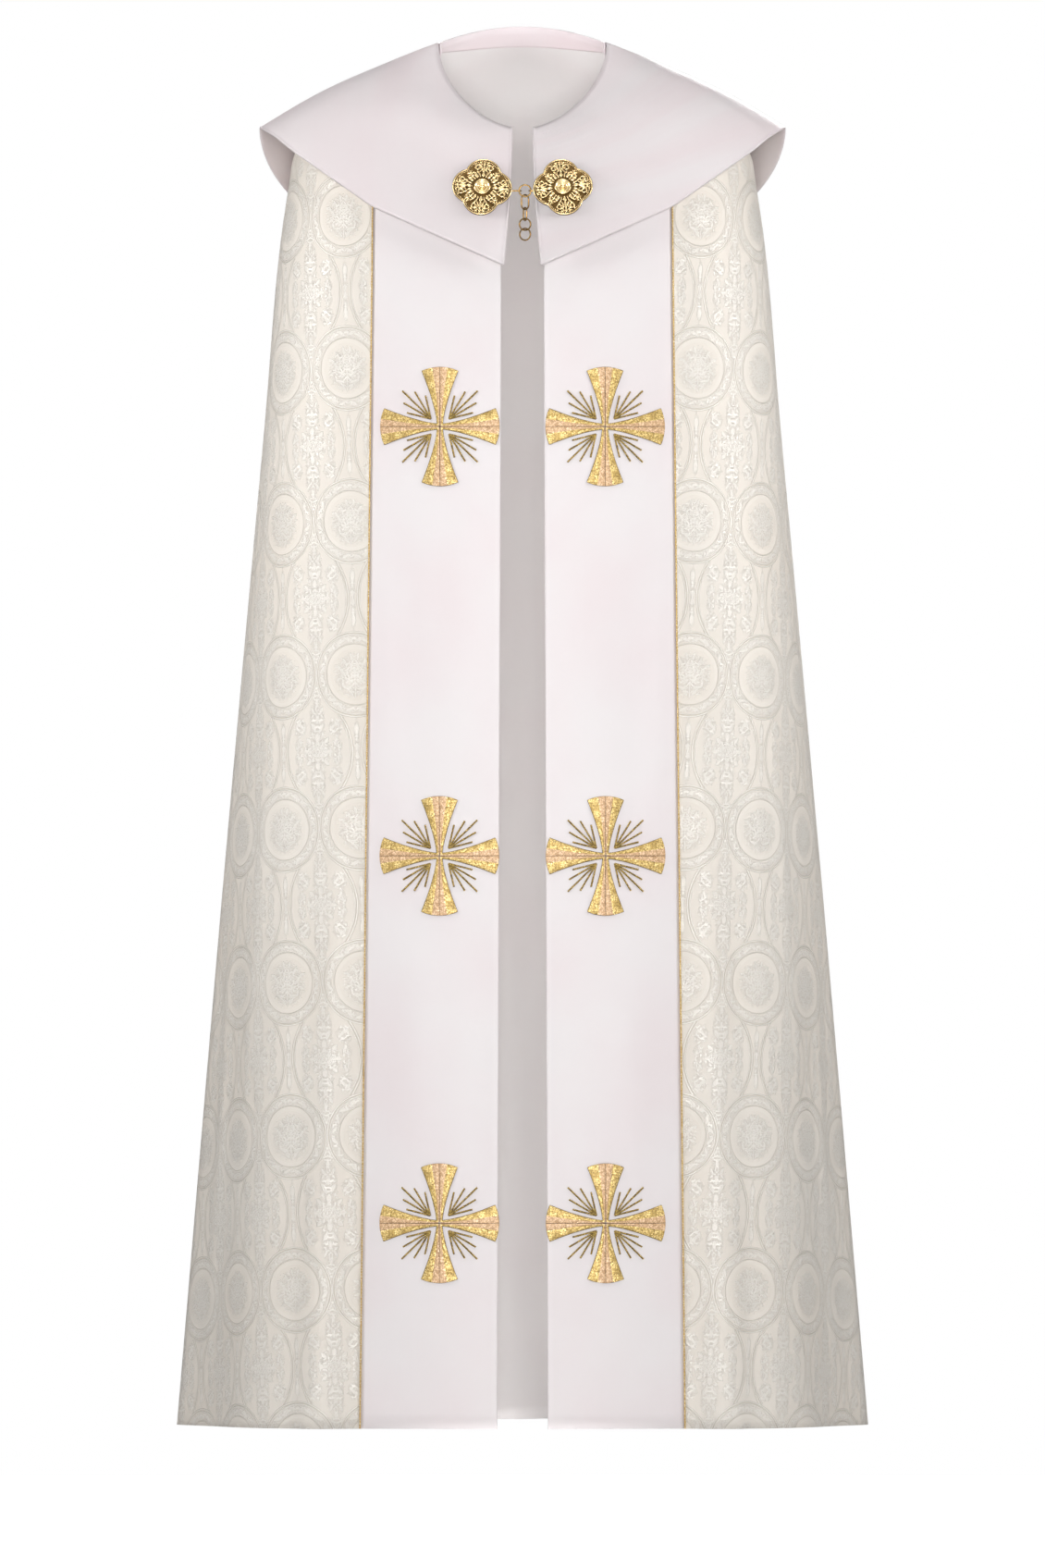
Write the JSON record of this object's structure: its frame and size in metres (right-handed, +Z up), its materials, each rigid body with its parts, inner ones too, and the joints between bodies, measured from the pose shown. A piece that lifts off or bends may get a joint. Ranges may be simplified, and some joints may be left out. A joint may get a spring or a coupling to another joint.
{
  "type": "cope vestment",
  "caption": "Open-fronted floor-length brocade cope with satin front bands, a wide stiff shoulder collar, embroidered crosses and a chain clasp.",
  "frame": {"origin": "middle of the neck opening, level with the side points of its neck edge", "axes": "+Z up along the wearer's height, the front faces -Y, +X towards the viewer's right when seen from the front"},
  "size_m": [0.7086, 0.5182, 1.4372],
  "materials": {
    "ivory_brocade": "woven satin ground with a raised sheen pattern of circles and flowers",
    "white_satin": "smooth duchess satin, faintly pink in the shade",
    "gold_thread": "metallic gold embroidery thread",
    "gold_metal": "polished gold-coloured filigree casting"
  },
  "bodies": {
    "root": {"brocade_body": "ivory_brocade", "front_band_left": "white_satin", "front_band_right": "white_satin", "collar": "white_satin", "piping_left": "gold_thread", "piping_right": "gold_thread", "cross_left_top": "gold_thread", "cross_left_middle": "gold_thread", "cross_left_lower": "gold_thread", "cross_right_top": "gold_thread", "cross_right_middle": "gold_thread", "cross_right_lower": "gold_thread", "medallion_left": "gold_metal", "medallion_right": "gold_metal", "clasp_ring": "gold_metal", "clasp_eye": "gold_metal", "clasp_hook": "gold_metal", "chain_link_oval": "gold_metal", "chain_link_small": "gold_metal", "chain_ring_upper": "gold_metal", "chain_ring_lower": "gold_metal"}
  },
  "joints": []
}
